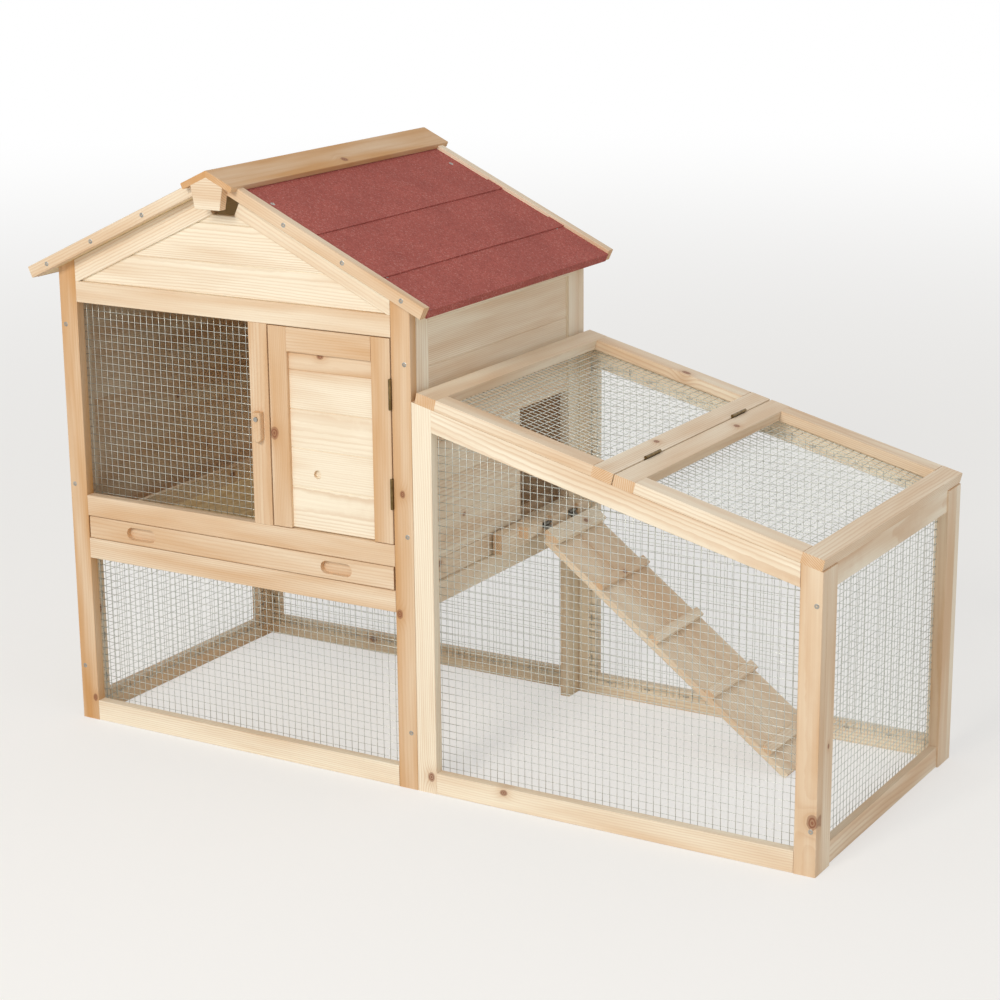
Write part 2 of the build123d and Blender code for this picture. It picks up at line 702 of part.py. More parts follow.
def build_ramp():
    top = -HOOK_T
    middle = sum(RAMP_Y) / 2
    widths = ((RAMP_Y[0], middle - PLANK_GAP / 2), (middle + PLANK_GAP / 2, RAMP_Y[1]))
    planks = [lath((RAMP_HEAD, RAMP_LEN), y, (top - PLANK_T, top), Axis.X) for y in widths]
    ground = Plane.XY.offset(RAMP_FOOT_Z)
    keep("ramp_planks", *[above(ramp_slope * plank, ground) for plank in planks])
    head = lath(HEAD_BATTEN, RAMP_Y, (top, top + HEAD_BATTEN_T), Axis.Y)
    hooks = []
    for y in NOTCH_Y:
        strap_y = (y - HOOK_W / 2, y + HOOK_W / 2)
        strap = block((0, HOOK_LEN), strap_y, (top, 0))
        eye = Pos(0, y, 0) * Rot(90, 0, 0) * Cylinder(HOOK_EYE_R, HOOK_W)
        bore = Pos(0, y, 0) * Rot(90, 0, 0) * Cylinder(RAMP_PIN_R + PIN_PLAY, HOOK_W)
        hooks.append(strap + eye - bore)
        room = (strap_y[0] - HOOK_PLAY, strap_y[1] + HOOK_PLAY)
        head -= block((HEAD_BATTEN[0], HEAD_BATTEN[1]), room, (top, 0))
    keep("ramp_hooks", *[ramp_slope * hook for hook in hooks])
    lower = [BATTEN_FIRST + i * BATTEN_PITCH for i in range(BATTEN_COUNT)]
    rungs = [lath((edge - BATTEN_W, edge), RAMP_Y, (top, top + BATTEN_T), Axis.Y) for edge in lower]
    keep("ramp_battens", *[ramp_slope * rung for rung in (head, *rungs)])


build_front()
build_back()
build_left_side()
build_right_side()
build_roof()
build_door()
build_turn_button()
build_tray()
build_tray_runners()
build_run_walls()
build_run_top()
build_ledge()
build_ramp()
print("run top falls", round(degrees(run_fall), 2), "degrees")
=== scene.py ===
import json
import random
from math import atan, ceil, cos, radians, sin, tan, tau

import bmesh
import bpy
import numpy as np
from mathutils import Matrix, Vector
from mathutils.geometry import convex_hull_2d


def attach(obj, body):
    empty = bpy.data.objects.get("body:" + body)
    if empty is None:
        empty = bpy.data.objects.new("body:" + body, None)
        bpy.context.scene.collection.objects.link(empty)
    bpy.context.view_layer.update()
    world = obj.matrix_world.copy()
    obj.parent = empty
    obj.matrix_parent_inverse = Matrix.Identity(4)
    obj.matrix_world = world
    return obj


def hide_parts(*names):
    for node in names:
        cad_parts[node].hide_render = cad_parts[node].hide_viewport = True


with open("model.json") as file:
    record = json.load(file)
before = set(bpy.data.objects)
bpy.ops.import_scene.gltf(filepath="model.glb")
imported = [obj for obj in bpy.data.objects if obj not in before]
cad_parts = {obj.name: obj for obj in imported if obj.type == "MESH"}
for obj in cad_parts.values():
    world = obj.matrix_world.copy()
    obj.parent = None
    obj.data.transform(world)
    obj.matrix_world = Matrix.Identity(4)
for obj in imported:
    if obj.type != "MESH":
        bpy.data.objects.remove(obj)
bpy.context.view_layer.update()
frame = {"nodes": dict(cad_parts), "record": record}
body_of = {
    node: body
    for body, nodes in frame["record"]["behaviour"]["bodies"].items()
    for node in nodes
}

# Metres, in the part's own frame: +X from the house to the run, -Y is the front, +Z is up.
MM = 0.001
HOUSE_LEFT, HOUSE_RIGHT, RUN_RIGHT = -0.6782, 0.0218, 0.7198
HOUSE_MIDDLE = (HOUSE_LEFT + HOUSE_RIGHT) / 2
FRONT = -0.280
ROOF_APEX_Z = 0.965
ROOF_SLOPE = radians(25)
# The run's top falls from 648 to 474.6 mm over its length of 698 mm.
RUN_SLOPE = atan((648 - 474.6) / 698)
RAMP_SLOPE = radians(36.9)


def tilted(angle):
    """Directions along, across and square to a surface that falls towards +X."""
    return Vector((cos(angle), 0, -sin(angle))), Vector((0, 1, 0)), Vector((sin(angle), 0, cos(angle)))


LEVEL = tilted(0)
ROOF_RIGHT = tilted(ROOF_SLOPE)
ROOF_LEFT = tilted(-ROOF_SLOPE)
RUN_TOP = tilted(RUN_SLOPE)
RAMP = tilted(RAMP_SLOPE)


# Camera at the photograph's viewing angle
def set_camera():
    turn, look_down, roll = radians(30.733), radians(15.459), radians(-0.51)
    back = Vector((sin(turn) * cos(look_down), -cos(turn) * cos(look_down), sin(look_down)))
    level = Vector((cos(turn), sin(turn), 0))
    upright = back.cross(level)
    right = level * cos(roll) + upright * sin(roll)
    up = upright * cos(roll) - level * sin(roll)
    place = Matrix.Translation((2.0227, -3.3769, 1.5075))
    data = bpy.data.cameras.new("camera")
    data.lens = 87.5
    data.sensor_width = 36
    camera = bpy.data.objects.new("camera", data)
    camera.matrix_world = place @ Matrix((right, up, back)).transposed().to_4x4()
    bpy.context.collection.objects.link(camera)
    bpy.context.scene.camera = camera


# Materials
def linear(hex_colour):
    """An sRGB hex value as the linear colour that a shader takes."""
    parts = [int(hex_colour[i:i + 2], 16) / 255 for i in (1, 3, 5)]
    return [p / 12.92 if p <= 0.04045 else ((p + 0.055) / 1.055) ** 2.4 for p in parts] + [1]


def add(tree, kind, inputs=None, **settings):
    """Adds a node with its settings. Each input is a value or another node's output."""
    made = tree.nodes.new(kind)
    for name, value in settings.items():
        setattr(made, name, value)
    for key, value in (inputs or {}).items():
        if isinstance(value, bpy.types.NodeSocket):
            tree.links.new(value, made.inputs[key])
        else:
            made.inputs[key].default_value = value
    return made


def start_material(name, roughness, metallic=0.0):
    """A new material with its shader, ready for colour and bump."""
    material = bpy.data.materials.new(name)
    material.use_nodes = True
    shader = material.node_tree.nodes["Principled BSDF"]
    shader.inputs["Roughness"].default_value = roughness
    shader.inputs["Metallic"].default_value = metallic
    return material, material.node_tree, shader


def finish_material(tree, shader, colour, height, depth):
    """Links colour, and a height whose full range stands for depth in metres."""
    tree.links.new(colour, shader.inputs["Base Color"])
    bump = add(tree, "ShaderNodeBump", {"Height": height, "Distance": depth, "Strength": 1.0})
    tree.links.new(bump.outputs[0], shader.inputs["Normal"])


def knot(tree, name, wobble):
    """Distance from a knot's middle in knot radii, and how far it pushes the rings aside."""
    given = add(tree, "ShaderNodeAttribute", attribute_name=name).outputs["Vector"]
    place = add(tree, "ShaderNodeSeparateXYZ", {0: given})
    along = add(tree, "ShaderNodeMath", {0: place.outputs[0], 1: 0.75}, operation="MULTIPLY").outputs[0]
    flat = add(tree, "ShaderNodeCombineXYZ", {0: along, 1: place.outputs[1]}).outputs[0]
    reach = add(tree, "ShaderNodeVectorMath", {0: flat}, operation="LENGTH").outputs["Value"]
    radii = add(tree, "ShaderNodeMath", {0: reach, 1: place.outputs[2]}, operation="DIVIDE").outputs[0]
    radii = add(tree, "ShaderNodeMath", {0: wobble, 1: 0.7, 2: radii}, operation="MULTIPLY_ADD").outputs[0]
    square = add(tree, "ShaderNodeMath", {0: radii, 1: radii}, operation="MULTIPLY").outputs[0]
    fall = add(tree, "ShaderNodeMath", {0: square, 1: -0.22}, operation="MULTIPLY").outputs[0]
    near = add(tree, "ShaderNodeMath", {0: fall}, operation="EXPONENT").outputs[0]
    push = add(tree, "ShaderNodeMath", {0: near, 1: place.outputs[2]}, operation="MULTIPLY").outputs[0]
    return radii, near, push


def planed_pine(name, pale, warm, late_wood, heart, end_grain, ring=3.1 * MM):
    """Planed, unfinished pine: pale early wood with tan late-wood lines a few millimetres apart,
    long fine fibres, small red-brown knots that bend the lines, and darker sawn ends."""
    material, tree, shader = start_material(name, 0.62)
    grain = add(tree, "ShaderNodeAttribute", attribute_name="grain").outputs["Vector"]
    piece = add(tree, "ShaderNodeAttribute", attribute_name="piece").outputs["Vector"]
    # Each piece's tone, which for some pieces holds painted light and shade, and whether the face is end grain.
    tone_and_painted_light, end = add(tree, "ShaderNodeSeparateXYZ", {0: piece}).outputs[:2]
    # The rings wander by several lines over the length of a board.
    drawn = add(tree, "ShaderNodeVectorMath", {0: grain, 1: (0.9, 9.0, 9.0)}, operation="MULTIPLY").outputs[0]
    wander = add(tree, "ShaderNodeTexNoise", {"Vector": drawn, "Scale": 1.0, "Detail": 2.0}).outputs[0]
    blotch = add(tree, "ShaderNodeTexNoise", {"Vector": grain, "Scale": 55.0, "Detail": 3.0}).outputs[0]
    wobble = add(tree, "ShaderNodeMath", {0: blotch, 1: 0.5}, operation="SUBTRACT").outputs[0]
    across = add(
        tree, "ShaderNodeVectorMath", {0: grain, 1: (0.0, 1.0, 1.0)}, operation="MULTIPLY",
    ).outputs[0]
    radius = add(tree, "ShaderNodeVectorMath", {0: across}, operation="LENGTH").outputs["Value"]
    radius = add(
        tree, "ShaderNodeMath", {0: wander, 1: 26 * MM, 2: radius}, operation="MULTIPLY_ADD",
    ).outputs[0]
    radius = add(
        tree, "ShaderNodeMath", {0: wobble, 1: 1.2 * MM, 2: radius}, operation="MULTIPLY_ADD",
    ).outputs[0]
    knots = [knot(tree, "knot_a", wobble), knot(tree, "knot_b", wobble)]
    for _, _, push in knots:
        radius = add(
            tree, "ShaderNodeMath", {0: push, 1: 1.1, 2: radius}, operation="MULTIPLY_ADD",
        ).outputs[0]
    turns = add(tree, "ShaderNodeMath", {0: radius, 1: ring}, operation="DIVIDE").outputs[0]
    part = add(tree, "ShaderNodeMath", {0: turns}, operation="FRACT").outputs[0]
    rise = add(
        tree, "ShaderNodeMapRange",
        {"Value": part, "From Min": 0.35, "From Max": 0.86}, interpolation_type="SMOOTHSTEP",
    ).outputs[0]
    drop = add(
        tree, "ShaderNodeMapRange",
        {"Value": part, "From Min": 0.9, "From Max": 1.0, "To Min": 1.0, "To Max": 0.0},
    ).outputs[0]
    line = add(tree, "ShaderNodeMath", {0: rise, 1: drop}, operation="MULTIPLY").outputs[0]
    # Fibres about a millimetre apart, coarser than real ones so that they show.
    stretched = add(
        tree, "ShaderNodeVectorMath", {0: grain, 1: (7.0, 420.0, 420.0)}, operation="MULTIPLY",
    ).outputs[0]
    fibre = add(
        tree, "ShaderNodeTexNoise", {"Vector": stretched, "Scale": 1.0, "Detail": 3.0, "Roughness": 0.6},
    ).outputs[0]
    slow = add(
        tree, "ShaderNodeVectorMath", {0: grain, 1: (3.0, 26.0, 26.0)}, operation="MULTIPLY",
    ).outputs[0]
    streak = add(tree, "ShaderNodeTexNoise", {"Vector": slow, "Scale": 1.0, "Detail": 2.0}).outputs[0]
    warmth = add(
        tree, "ShaderNodeMapRange",
        {"Value": streak, "From Min": 0.3, "From Max": 0.72, "To Min": -0.26, "To Max": 0.3},
    ).outputs[0]
    # Adds the piece's tone, which for some pieces is painted light and shade.
    warmth = add(tree, "ShaderNodeMath", {0: warmth, 1: tone_and_painted_light}, operation="ADD", use_clamp=True).outputs[0]
    colour = add(
        tree, "ShaderNodeMix", {0: warmth, 6: linear(pale), 7: linear(warm)}, data_type="RGBA",
    ).outputs[2]
    strength = add(
        tree, "ShaderNodeMapRange",
        {"Value": wander, "From Min": 0.3, "From Max": 0.7, "To Min": 0.06, "To Max": 0.36},
    ).outputs[0]
    shade = add(tree, "ShaderNodeMath", {0: line, 1: strength}, operation="MULTIPLY").outputs[0]
    colour = add(
        tree, "ShaderNodeMix", {0: shade, 6: colour, 7: linear(late_wood)}, data_type="RGBA",
    ).outputs[2]
    grey = add(
        tree, "ShaderNodeMapRange",
        {"Value": fibre, "From Min": 0.3, "From Max": 0.7, "To Min": 0.0, "To Max": 0.15},
    ).outputs[0]
    colour = add(
        tree, "ShaderNodeMix", {0: grey, 6: colour, 7: linear(late_wood)}, data_type="RGBA",
    ).outputs[2]
    for radii, near, _ in knots:
        halo = add(tree, "ShaderNodeMath", {0: near, 1: 0.45}, operation="MULTIPLY").outputs[0]
        colour = add(
            tree, "ShaderNodeMix", {0: halo, 6: colour, 7: linear(late_wood)}, data_type="RGBA",
        ).outputs[2]
        inside = add(
            tree, "ShaderNodeMapRange",
            {"Value": radii, "From Min": 0.8, "From Max": 1.15, "To Min": 0.9, "To Max": 0.0},
            interpolation_type="SMOOTHSTEP",
        ).outputs[0]
        circles = add(tree, "ShaderNodeMath", {0: radii, 1: 14.0}, operation="MULTIPLY").outputs[0]
        circles = add(tree, "ShaderNodeMath", {0: circles}, operation="SINE").outputs[0]
        core = add(
            tree, "ShaderNodeMapRange", {"Value": circles, "From Min": -1.0, "To Min": 0.55, "To Max": 1.0},
        ).outputs[0]
        inside = add(tree, "ShaderNodeMath", {0: inside, 1: core}, operation="MULTIPLY").outputs[0]
        colour = add(
            tree, "ShaderNodeMix", {0: inside, 6: colour, 7: linear(heart)}, data_type="RGBA",
        ).outputs[2]
    sawn = add(tree, "ShaderNodeMapRange", {"Value": line, "To Min": 0.4, "To Max": 0.85}).outputs[0]
    sawn = add(tree, "ShaderNodeMath", {0: sawn, 1: end}, operation="MULTIPLY").outputs[0]
    colour = add(
        tree, "ShaderNodeMix", {0: sawn, 6: colour, 7: linear(end_grain)}, data_type="RGBA",
    ).outputs[2]
    height = add(tree, "ShaderNodeMath", {0: line, 1: 0.6, 2: fibre}, operation="MULTIPLY_ADD").outputs[0]
    finish_material(tree, shader, colour, height, 0.12 * MM)
    return material


def plywood_sheet(name, pale, dark):
    """Thin poplar plywood: a soft pale face with short darker flecks along the grain."""
    material, tree, shader = start_material(name, 0.6)
    place = add(tree, "ShaderNodeNewGeometry").outputs["Position"]
    stretched = add(
        tree, "ShaderNodeVectorMath", {0: place, 1: (90.0, 5.0, 90.0)}, operation="MULTIPLY",
    ).outputs[0]
    flecks = add(tree, "ShaderNodeTexNoise", {"Vector": stretched, "Scale": 1.0, "Detail": 4.0}).outputs[0]
    amount = add(tree, "ShaderNodeMapRange", {"Value": flecks, "From Min": 0.35, "From Max": 0.7}).outputs[0]
    colour = add(
        tree, "ShaderNodeMix", {0: amount, 6: linear(pale), 7: linear(dark)}, data_type="RGBA",
    ).outputs[2]
    finish_material(tree, shader, colour, flecks, 0.08 * MM)
    return material


def mineral_felt(name, red, dark, pale):
    """Bitumen roofing felt with red mineral granules: a matt sandy face. The grit is a millimetre
    across and is drawn at twice that so that it shows."""
    material, tree, shader = start_material(name, 0.88)
    place = add(tree, "ShaderNodeNewGeometry").outputs["Position"]
    grit = add(tree, "ShaderNodeTexVoronoi", {"Vector": place, "Scale": 1 / (2.0 * MM)})
    pick = add(tree, "ShaderNodeSeparateXYZ", {0: grit.outputs["Color"]}).outputs[0]
    cloud = add(tree, "ShaderNodeTexNoise", {"Vector": place, "Scale": 14.0, "Detail": 5.0}).outputs[0]
    worn = add(
        tree, "ShaderNodeMapRange",
        {"Value": cloud, "From Min": 0.35, "From Max": 0.7, "To Min": 0.0, "To Max": 0.35},
    ).outputs[0]
    amount = add(
        tree, "ShaderNodeMapRange",
        {"Value": pick, "From Min": 0.0, "From Max": 0.55, "To Min": 0.65, "To Max": 0.0},
    ).outputs[0]
    colour = add(
        tree, "ShaderNodeMix", {0: amount, 6: linear(red), 7: linear(dark)}, data_type="RGBA",
    ).outputs[2]
    bright = add(
        tree, "ShaderNodeMapRange",
        {"Value": pick, "From Min": 0.82, "From Max": 1.0, "To Min": 0.0, "To Max": 0.55},
    ).outputs[0]
    colour = add(tree, "ShaderNodeMix", {0: bright, 6: colour, 7: linear(pale)}, data_type="RGBA").outputs[2]
    colour = add(tree, "ShaderNodeMix", {0: worn, 6: colour, 7: linear(dark)}, data_type="RGBA").outputs[2]
    finish_material(tree, shader, colour, grit.outputs["Distance"], 0.5 * MM)
    return material


def zinc_metal(name, bright, dull, roughness, spangle):
    """Zinc on steel wire or sheet: a soft grey metal shine, mottled by the zinc crystals."""
    material, tree, shader = start_material(name, roughness, 1.0)
    place = add(tree, "ShaderNodeNewGeometry").outputs["Position"]
    cells = add(tree, "ShaderNodeTexNoise", {"Vector": place, "Scale": 1 / spangle, "Detail": 2.0}).outputs[0]
    amount = add(tree, "ShaderNodeMapRange", {"Value": cells, "From Min": 0.3, "From Max": 0.7}).outputs[0]
    colour = add(
        tree, "ShaderNodeMix", {0: amount, 6: linear(bright), 7: linear(dull)}, data_type="RGBA",
    ).outputs[2]
    finish_material(tree, shader, colour, cells, 0.03 * MM)
    return material


pine = planed_pine("planed_pine", "#F8F0DC", "#CB9A62", "#BE8A54", "#7A3F22", "#D0A06C")
plywood = plywood_sheet("poplar_plywood", "#E6D2A8", "#D4B988")
red_felt = mineral_felt("red_mineral_felt", "#B05A50", "#853C35", "#CC968C")
wire_zinc = zinc_metal("galvanised_wire", "#DDE0DA", "#BABFB8", 0.45, 3 * MM)
sheet_zinc = zinc_metal("zinc_plated_steel", "#BDBCB6", "#94928C", 0.36, 6 * MM)
# Dull zinc for the ramp's hooks, made dark as painted shade for the shaded notches where they hook over the ledge.
dull_zinc = zinc_metal("dark_zinc_steel_painted_shade", "#8A867C", "#66625A", 0.55, 5 * MM)
dull_brass = zinc_metal("brassed_hinge_steel", "#8C7650", "#6B5838", 0.38, 8 * MM)


# Wood pieces: each solid of a timber node gets its own grain, tone and knots.
# A tone runs from 0, the pale colour, to 1, the warm one; for some pieces it also holds painted light and shade.
USUAL_TONE = 0.35
# Painted light in these tones: the ridge boards, the left front stile and the back and left boards are darker as
# painted shade, and the run's back frame, the back and right frames and the ramp pieces are paler as painted
# sunlight.
TONES_AND_PAINTED_LIGHT = {
    "front_gable_boards": 0.0, "door_boards": 0.05, "right_boards": 0.2, "left_boards": 0.4, "back_boards": 0.55,
    "door_frame": 0.55, "front_centre_stile": 0.7, "front_stile_left": 0.8, "front_stile_right": 0.75,
    "front_head_rail": 0.25, "front_sill_rail": 0.4, "tray_front": 0.65, "front_tray_rail": 0.4,
    "front_foot_rail": 0.2, "front_gable_laths": 0.2, "barge_laths_front": 0.4, "ridge_boards": 0.85,
    "ridge_end_blocks": 0.1, "turn_button": 0.85, "run_front_frame": 0.2, "run_top_frame": 0.3,
    "run_lid_frame": 0.25, "run_end_frame": 0.35, "run_back_frame": 0.08, "back_frame": 0.12, "right_frame": 0.15,
    "ramp_planks": 0.3, "ramp_battens": 0.15, "ramp_cleat": 0.12, "ramp_ledge": 0.12,
}
TIMBER = [
    "back_boards", "back_frame", "back_gable_laths", "barge_laths_back", "barge_laths_front", "door_boards",
    "door_frame", "doorway_post", "front_centre_stile", "front_foot_rail", "front_gable_boards",
    "front_gable_laths", "front_head_rail", "front_sill_rail", "front_stile_left", "front_stile_right",
    "front_tray_rail", "left_boards", "left_frame", "ramp_battens", "ramp_cleat", "ramp_ledge", "ramp_planks",
    "ridge_boards", "ridge_end_blocks", "right_boards", "right_frame", "run_back_frame", "run_end_frame",
    "run_front_frame", "run_lid_frame", "run_top_frame", "tray_front", "tray_runners", "tray_walls", "turn_button",
]
# Knots of the pieces that show most: place and radius in millimetres, and how much warmer that piece is.
# A node with an empty list is clear of knots, and one that isn't named gets a few at random.
KNOTS = {
    "front_stile_left": [(-639, -280, 615, 7, 0), (-649, -280, 41, 5, 0)],
    "front_stile_right": [(-7, -280, 296, 6, 0), (3, -280, 496, 5, 0)],
    "run_front_frame": [(713, -280, 87, 9, 0.25), (48, -280, 28, 6, -0.15), (183, -280, 28, 5, 0)],
    "door_boards": [(-152, -274, 701, 5, 0.7)],
    "door_frame": [(-242, -280, 567, 8, 0)],
    "ridge_boards": [(-334, -182, 975, 8, 0), (-287, 8, 975, 6, 0)],
    "front_gable_boards": [], "front_head_rail": [], "ridge_end_blocks": [], "tray_front": [], "turn_button": [],
    "front_centre_stile": [], "barge_laths_front": [], "front_gable_laths": [], "front_sill_rail": [],
}
# Where a piece has no knot, its knot is metres away.
FAR = Vector((9, 9, 0.01))


def solids_of(node):
    """The triangles of a CAD node, one list for each separate solid."""
    mesh = frame["nodes"][node].data
    mesh.calc_loop_triangles()
    keys = [tuple(round(c / (5 * MM * MM)) for c in v.co) for v in mesh.vertices]
    triangles = [[keys[i] for i in t.vertices] for t in mesh.loop_triangles]
    triangles = [t for t in triangles if len(set(t)) == 3]
    edges = {}
    for number, t in enumerate(triangles):
        for a, b in ((t[0], t[1]), (t[1], t[2]), (t[2], t[0])):
            edges.setdefault(frozenset((a, b)), []).append(number)
    group = list(range(len(triangles)))

    def root(n):
        while group[n] != n:
            group[n] = group[group[n]]
            n = group[n]
        return n

    for faces in edges.values():
        if len(faces) == 2:
            group[root(faces[0])] = root(faces[1])
    found = {}
    for number, t in enumerate(triangles):
        found.setdefault(root(number), []).append(t)
    place = {key: v.co.copy() for key, v in zip(keys, mesh.vertices)}
    return [[[place[k] for k in t] for t in solid] for solid in found.values()]


def lie_of(points):
    """The length, width and thickness directions of a lath or board."""
    best = None
    for axes in (LEVEL, ROOF_RIGHT, ROOF_LEFT, RUN_TOP, RAMP):
        spans = [np.ptp([p.dot(axis) for p in points]) for axis in axes]
        volume = spans[0] * spans[1] * spans[2]
        if best is None or volume < best[0] * 0.98:
            order = sorted(range(3), key=lambda i: -spans[i])
            best = (volume, [axes[i] for i in order], [spans[i] for i in order])
    return best[1], best[2]


def wood_piece(node):
    """The node's laths or boards with softened arrises, carrying grain, tone (for some pieces painted light and
    shade) and knots.
    """
    rng = random.Random(node)
    bm = bmesh.new()
    layers = {name: bm.verts.layers.float_vector.new(name) for name in ("grain", "knot_a", "knot_b")}
    piece_layer = bm.faces.layers.float_vector.new("piece")
    wanted = [(Vector(k[:3]) * MM, k[3] * MM, k[4]) for k in KNOTS.get(node, [])]
    for triangles in solids_of(node):
        points = {tuple(p): p for t in triangles for p in t}
        (along, across, thick), spans = lie_of(list(points.values()))
        middle = sum(points.values(), Vector()) / len(points)
        low = Vector([min(p[i] for p in points.values()) for i in range(3)]) - Vector((2, 2, 2)) * MM
        high = Vector([max(p[i] for p in points.values()) for i in range(3)]) + Vector((2, 2, 2)) * MM
        knots = [k for k in wanted if all(low[i] < k[0][i] < high[i] for i in range(3))]
        if node not in KNOTS and rng.random() < 0.3:
            spot = middle + along * rng.uniform(-0.4, 0.4) * spans[0]
            spot = spot + across * rng.uniform(-0.35, 0.35) * spans[1]
            knots = [(spot, rng.uniform(3, 6.5) * MM, 0)]
        pith_across = rng.uniform(-0.14, 0.14)
        pith_thick = rng.choice((-1, 1)) * rng.uniform(0.02, 0.12)
        shift = rng.uniform(0, 40)
        # The tone is the wood's own colour and, for some pieces, painted light and shade from the table, with a
        # random spread and the knots' warmth on top.
        tone_and_painted_light = TONES_AND_PAINTED_LIGHT.get(node, USUAL_TONE) + rng.uniform(-0.12, 0.12) + sum(k[2] for k in knots)
        tone_and_painted_light = min(0.95, max(0.0, tone_and_painted_light))
        made = {key: bm.verts.new(p) for key, p in points.items()}
        for key, p in points.items():
            offset = p - middle
            vert = made[key]
            side, depth = offset.dot(across) + pith_across, offset.dot(thick) + pith_thick
            vert[layers["grain"]] = (p.dot(along) + shift, side, depth)
            for name, k in zip(("knot_a", "knot_b"), knots + [None] * 2):
                vert[layers[name]] = FAR if k is None else ((p - k[0]).dot(along), (p - k[0]).dot(across), k[1])
        faces = [bm.faces.new([made[tuple(p)] for p in t]) for t in triangles]
        for face in faces:
            face.normal_update()
            face[piece_layer] = (tone_and_painted_light, 1.0 if abs(face.normal.dot(along)) > 0.75 else 0.0, 0.0)
    bmesh.ops.recalc_face_normals(bm, faces=bm.faces)
    bmesh.ops.dissolve_limit(bm, angle_limit=radians(0.5), verts=bm.verts, edges=bm.edges)
    for edge in bm.edges:
        edge.smooth = len(edge.link_faces) == 2 and edge.calc_face_angle() < radians(50)
    for face in bm.faces:
        face.smooth = True
    made = add_piece(node + "_wood", bm, pine, body_of[node])
    # Weighted normals turn the planed-off arris into a soft round one.
    soften = made.modifiers.new("soft_arris", "WEIGHTED_NORMAL")
    soften.weight = 100
    soften.keep_sharp = True
    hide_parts(node)


def add_piece(name, bm, material, body):
    mesh = bpy.data.meshes.new(name)
    bm.to_mesh(mesh)
    bm.free()
    mesh.materials.append(material)
    made = bpy.data.objects.new(name, mesh)
    bpy.context.collection.objects.link(made)
    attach(made, body)
    return made


# Welded wire net: 12.7 mm squares, 1 mm wire, the upright wires against the frame and the others welded over them
PITCH = 12.7 * MM
WIRE_R = 0.5 * MM
WELD = 2.6 * WIRE_R
STAPLE_STEP = 6
NETS = {
    "window_mesh": ((1, 0, 0), (0, 0, 1), (0, 1, 0)),
    "front_lower_mesh": ((1, 0, 0), (0, 0, 1), (0, 1, 0)),
    "run_front_mesh": ((1, 0, 0), (0, 0, 1), (0, 1, 0)),
    "back_mesh": ((1, 0, 0), (0, 0, 1), (0, -1, 0)),
    "run_back_mesh": ((1, 0, 0), (0, 0, 1), (0, -1, 0)),
    "left_mesh": ((0, 1, 0), (0, 0, 1), (1, 0, 0)),
    "run_end_mesh": ((0, 1, 0), (0, 0, 1), (-1, 0, 0)),
    "run_top_mesh": (RUN_TOP[0], RUN_TOP[1], -RUN_TOP[2]),
    "run_lid_mesh": (RUN_TOP[0], RUN_TOP[1], -RUN_TOP[2]),
}


def crossing(outline, fixed, value):
    """Where a line at one coordinate enters and leaves a convex outline."""
    free = 1 - fixed
    hits = []
    for a, b in zip(outline, outline[1:] + outline[:1]):
        low, high = sorted((a[fixed], b[fixed]))
        if low <= value <= high and high - low > 1e-9:
            hits.append(a[free] + (b[free] - a[free]) * (value - a[fixed]) / (b[fixed] - a[fixed]))
    return (min(hits), max(hits)) if len(hits) > 1 else None


def bent_wire(bm, start, end, side, out, rng):
    """One wire, a hair off straight, with six flats that shade round."""
    steps = max(2, ceil((end - start).length / (70 * MM)))
    phase, sway = rng.uniform(0, tau), rng.uniform(0.1, 0.3) * MM
    rings = []
    for i in range(steps + 1):
        middle = start.lerp(end, i / steps) + side * sway * sin(phase + 2.4 * i)
        rings.append([
            bm.verts.new(middle + (side * cos(k * tau / 6) + out * sin(k * tau / 6)) * WIRE_R)
            for k in range(6)
        ])
    for a, b in zip(rings, rings[1:]):
        for k in range(6):
            bm.faces.new((a[k], a[(k + 1) % 6], b[(k + 1) % 6], b[k])).smooth = True
    bm.faces.new(rings[0][::-1])
    bm.faces.new(rings[-1])


def wire_net(node):
    u, v, inward = (Vector(direction) for direction in NETS[node])
    rng = random.Random(node)
    points = [p.co for p in frame["nodes"][node].data.vertices]
    face = min(p.dot(inward) for p in points)
    flat = [Vector((p.dot(u), p.dot(v))) for p in points]
    outline = [flat[i] for i in convex_hull_2d(flat)]
    bm = bmesh.new()
    staples = bmesh.new()
    for fixed, free_dir, fixed_dir, depth in ((0, v, u, WIRE_R), (1, u, v, WELD)):
        values = [p[fixed] for p in outline]
        low, high = min(values) + 3 * MM, max(values) - 3 * MM
        count = int((high - low) / PITCH)
        start = (low + high - count * PITCH) / 2
        for i in range(count + 1):
            value = start + i * PITCH + rng.uniform(-0.15, 0.15) * MM
            ends = crossing(outline, fixed, value)
            if ends is None or ends[1] - ends[0] < 2 * PITCH:
                continue
            base = fixed_dir * value + inward * (face + depth)
            first, last = base + free_dir * (ends[0] + 1 * MM), base + free_dir * (ends[1] - 1 * MM)
            bent_wire(bm, first, last, fixed_dir, inward, rng)
            if i % STAPLE_STEP == 3:
                for at in (first + free_dir * 6 * MM, last - free_dir * 6 * MM):
                    staple(staples, at + inward * (WELD - depth), fixed_dir, free_dir, inward)
    bmesh.ops.recalc_face_normals(bm, faces=bm.faces)
    made = add_piece(node + "_wires", bm, wire_zinc, body_of[node])
    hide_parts(node)
    bmesh.ops.recalc_face_normals(staples, faces=staples.faces)
    add_piece(node + "_staples", staples, sheet_zinc, body_of[node])


